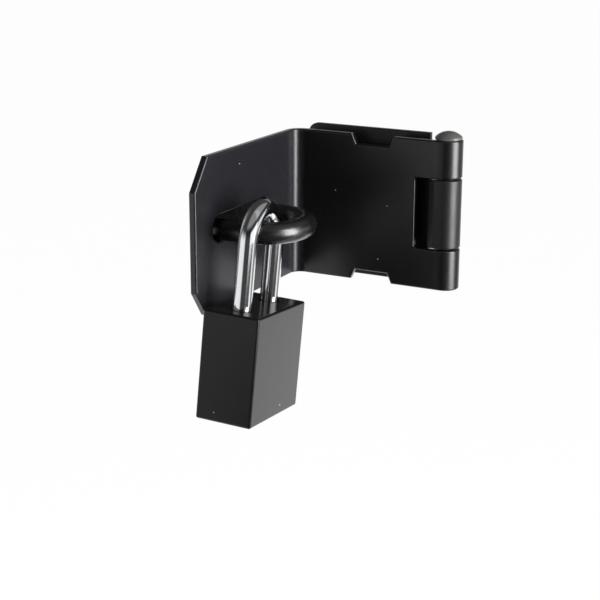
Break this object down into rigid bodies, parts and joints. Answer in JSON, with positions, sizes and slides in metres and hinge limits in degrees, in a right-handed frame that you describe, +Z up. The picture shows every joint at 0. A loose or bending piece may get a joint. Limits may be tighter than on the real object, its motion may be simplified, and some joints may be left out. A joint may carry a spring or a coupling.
{
  "type": "padlock hasp",
  "caption": "Right-angle sheet-metal hasp with a rolled-knuckle hinge and a slotted flange over a ring staple, locked by a square padlock hanging in the ring.",
  "frame": {"origin": "centre of the fixed leaf's bolt pattern, on its back face against the wall", "axes": "+X along the leaf towards the hinge, +Y into the wall behind the fixed leaf, +Z up"},
  "size_m": [0.0816, 0.1018, 0.1119],
  "materials": {
    "black_coat": "satin black powder coat",
    "padlock_coat": "satin black coat",
    "chrome": "polished chrome plate",
    "brass": "turned brass",
    "bare_steel": "bright steel"
  },
  "bodies": {
    "wall_leaf": {"fixed_leaf": "black_coat"},
    "hasp": {"hasp_leaf": "black_coat", "hinge_pin": "black_coat", "staple_ring": "black_coat", "staple_plate": "black_coat"},
    "padlock": {"padlock_body": "padlock_coat", "shackle": "chrome", "shackle_spring": "bare_steel", "cylinder_shell": "brass", "pin_springs": "bare_steel", "chamber_cap": "brass", "cylinder_screw": "bare_steel", "driver_pin_1": "brass", "driver_pin_2": "brass", "driver_pin_3": "brass", "driver_pin_4": "brass", "driver_pin_5": "brass"},
    "plug": {"cylinder_plug": "brass", "lock_cam": "bare_steel", "key_pin_1": "brass", "key_pin_2": "brass", "key_pin_3": "brass", "key_pin_4": "brass", "key_pin_5": "brass"},
    "front_ball": {"locking_ball_front": "bare_steel"},
    "rear_ball": {"locking_ball_rear": "bare_steel"}
  },
  "joints": [
    {"name": "leaf_hinge", "type": "hinge", "parent": "wall_leaf", "child": "hasp", "pos_m": [0.0385, -0.00615, 0], "axis": [0, 0, 1], "range_deg": [0, 130]},
    {"name": "padlock_swing", "type": "hinge", "parent": "hasp", "child": "padlock", "pos_m": [-0.0139, -0.07439, -0.0003], "axis": [1, 0, 0], "range_deg": [-30, 30]},
    {"name": "plug_turn", "type": "hinge", "parent": "padlock", "child": "plug", "pos_m": [-0.01532, -0.07492, -0.02994], "axis": [0.0436, 0.101, 0.9939], "range_deg": [0, 90]},
    {"name": "front_ball_slide", "type": "slide", "parent": "padlock", "child": "front_ball", "axis": [-0.054, 0.9937, -0.0986], "range_m": [0, 0.0021]},
    {"name": "rear_ball_slide", "type": "slide", "parent": "padlock", "child": "rear_ball", "axis": [0.054, -0.9937, 0.0986], "range_m": [0, 0.0021]}
  ],
  "couplings": [
    {"joint": "front_ball_slide", "follows": "plug_turn", "m_per_rad": 0.0013356},
    {"joint": "rear_ball_slide", "follows": "plug_turn", "m_per_rad": 0.0013356}
  ]
}
